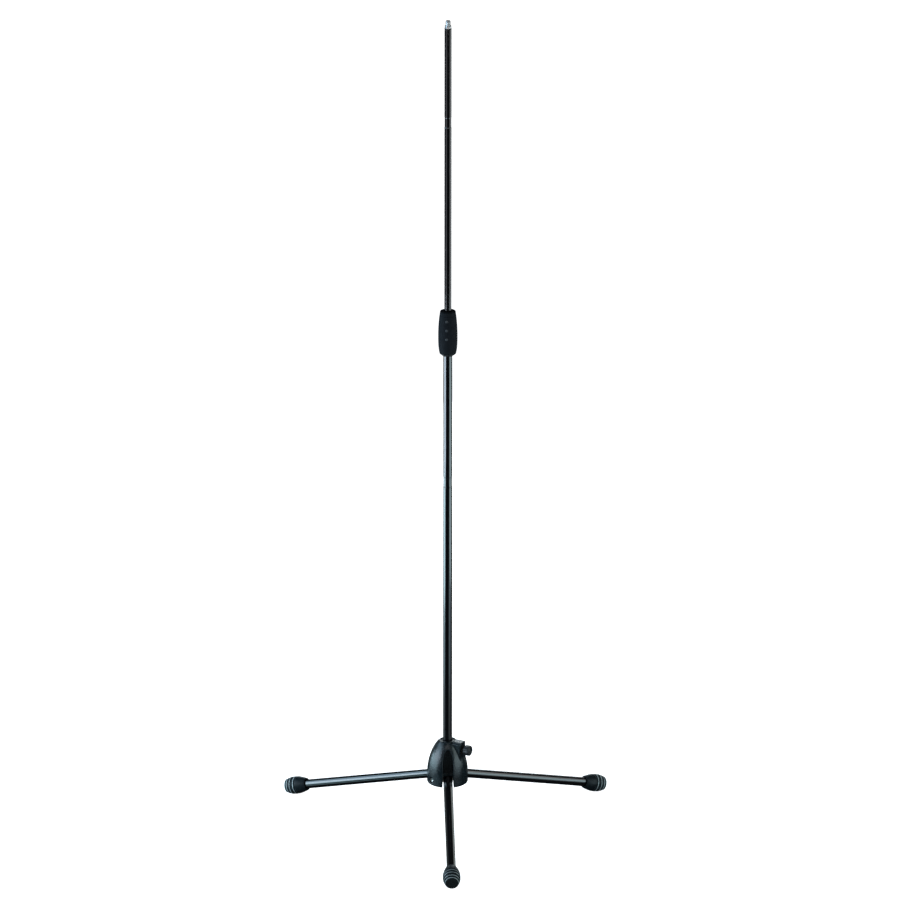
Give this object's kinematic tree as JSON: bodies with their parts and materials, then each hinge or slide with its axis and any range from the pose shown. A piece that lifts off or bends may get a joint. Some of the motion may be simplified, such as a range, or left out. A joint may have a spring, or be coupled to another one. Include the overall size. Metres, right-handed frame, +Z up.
{
  "type": "microphone stand",
  "caption": "Straight telescopic microphone stand: folding tripod base with a domed housing and clamp knob, sliding tubes, barrel-shaped clutch grip and a threaded tip.",
  "frame": {"origin": "on the floor, at the centre of the rectangle that the stand fills", "axes": "+Z up along the tubes, -Y along the front leg, +X to the right as seen from the front"},
  "size_m": [0.6382, 0.5552, 1.6772],
  "materials": {
    "gloss_black_paint": "gloss black paint on steel tube",
    "satin_black_nylon": "satin moulded nylon",
    "matt_black_plastic": "matt moulded plastic",
    "black_rubber": "matt rubber",
    "natural_nylon": "uncoloured nylon",
    "zinc_plated_steel": "bright zinc plate",
    "brass": "turned",
    "chrome": "polished chrome plate"
  },
  "bodies": {
    "base": {"leg_housing": "satin_black_nylon", "housing_liner": "matt_black_plastic", "clamp_insert": "brass", "pivot_screw_front": "zinc_plated_steel", "pivot_screw_right": "zinc_plated_steel", "pivot_screw_left": "zinc_plated_steel", "pivot_nut_front": "zinc_plated_steel", "pivot_nut_right": "zinc_plated_steel", "pivot_nut_left": "zinc_plated_steel", "friction_washer_front_a": "natural_nylon", "friction_washer_front_b": "natural_nylon", "friction_washer_right_a": "natural_nylon", "friction_washer_right_b": "natural_nylon", "friction_washer_left_a": "natural_nylon", "friction_washer_left_b": "natural_nylon"},
    "leg_front": {"leg_lug_front": "matt_black_plastic", "leg_tube_front": "gloss_black_paint", "leg_foot_front": "black_rubber"},
    "leg_right": {"leg_lug_right": "matt_black_plastic", "leg_tube_right": "gloss_black_paint", "leg_foot_right": "black_rubber"},
    "leg_left": {"leg_lug_left": "matt_black_plastic", "leg_tube_left": "gloss_black_paint", "leg_foot_left": "black_rubber"},
    "clamp_pad": {"clamp_pad": "natural_nylon"},
    "clamp_knob": {"clamp_knob": "matt_black_plastic", "clamp_screw": "zinc_plated_steel"},
    "mast_stop": {"mast_stop_ring": "natural_nylon"},
    "mast": {"lower_tube": "gloss_black_paint", "mast_end_plug": "matt_black_plastic", "clutch_body": "matt_black_plastic", "clutch_collet": "natural_nylon"},
    "clutch_washer": {"thrust_washer": "zinc_plated_steel"},
    "clutch_grip": {"grip_core": "matt_black_plastic", "grip_rubber": "black_rubber"},
    "upper_guide": {"guide_plug": "natural_nylon"},
    "upper_mast": {"upper_tube": "gloss_black_paint", "tip_stud": "chrome"}
  },
  "joints": [
    {"name": "leg_front_fold", "type": "hinge", "parent": "base", "child": "leg_front", "pos_m": [0, 0.06885, 0.09972], "axis": [1, 0, 0], "range_deg": [0, 75]},
    {"name": "leg_right_fold", "type": "hinge", "parent": "base", "child": "leg_right", "pos_m": [0.01472, 0.09435, 0.09972], "axis": [-0.5, 0.866, 0], "range_deg": [0, 75]},
    {"name": "leg_left_fold", "type": "hinge", "parent": "base", "child": "leg_left", "pos_m": [-0.01472, 0.09435, 0.09972], "axis": [-0.5, -0.866, 0], "range_deg": [0, 75]},
    {"name": "clamp_travel", "type": "slide", "parent": "base", "child": "clamp_pad", "axis": [0.866, -0.5, 0], "range_m": [0, 0.0025]},
    {"name": "clamp_turn", "type": "hinge", "parent": "clamp_pad", "child": "clamp_knob", "pos_m": [0, 0.08585, 0.16168], "axis": [0.866, -0.5, 0], "range_deg": [0, 720]},
    {"name": "mast_slide", "type": "slide", "parent": "base", "child": "mast_stop", "axis": [0, 0, -1], "range_m": [0, 0.28]},
    {"name": "mast_turn", "type": "hinge", "parent": "mast_stop", "child": "mast", "pos_m": [0, 0.08585, 0.12], "axis": [0, 0, 1], "continuous": true},
    {"name": "clutch_lift", "type": "slide", "parent": "mast", "child": "clutch_washer", "axis": [0, 0, 1], "range_m": [0, 0.0015]},
    {"name": "clutch_turn", "type": "hinge", "parent": "clutch_washer", "child": "clutch_grip", "pos_m": [0, 0.08585, 1.03], "axis": [0, 0, 1], "range_deg": [0, 180]},
    {"name": "upper_slide", "type": "slide", "parent": "mast", "child": "upper_guide", "axis": [0, 0, -1], "range_m": [0, 0.565]},
    {"name": "upper_turn", "type": "hinge", "parent": "upper_guide", "child": "upper_mast", "pos_m": [0, 0.08585, 1.3], "axis": [0, 0, 1], "continuous": true}
  ],
  "couplings": [
    {"joint": "clamp_turn", "follows": "clamp_travel", "rad_per_m": 5026.5},
    {"joint": "clutch_lift", "follows": "clutch_turn", "m_per_rad": 0.000477}
  ]
}
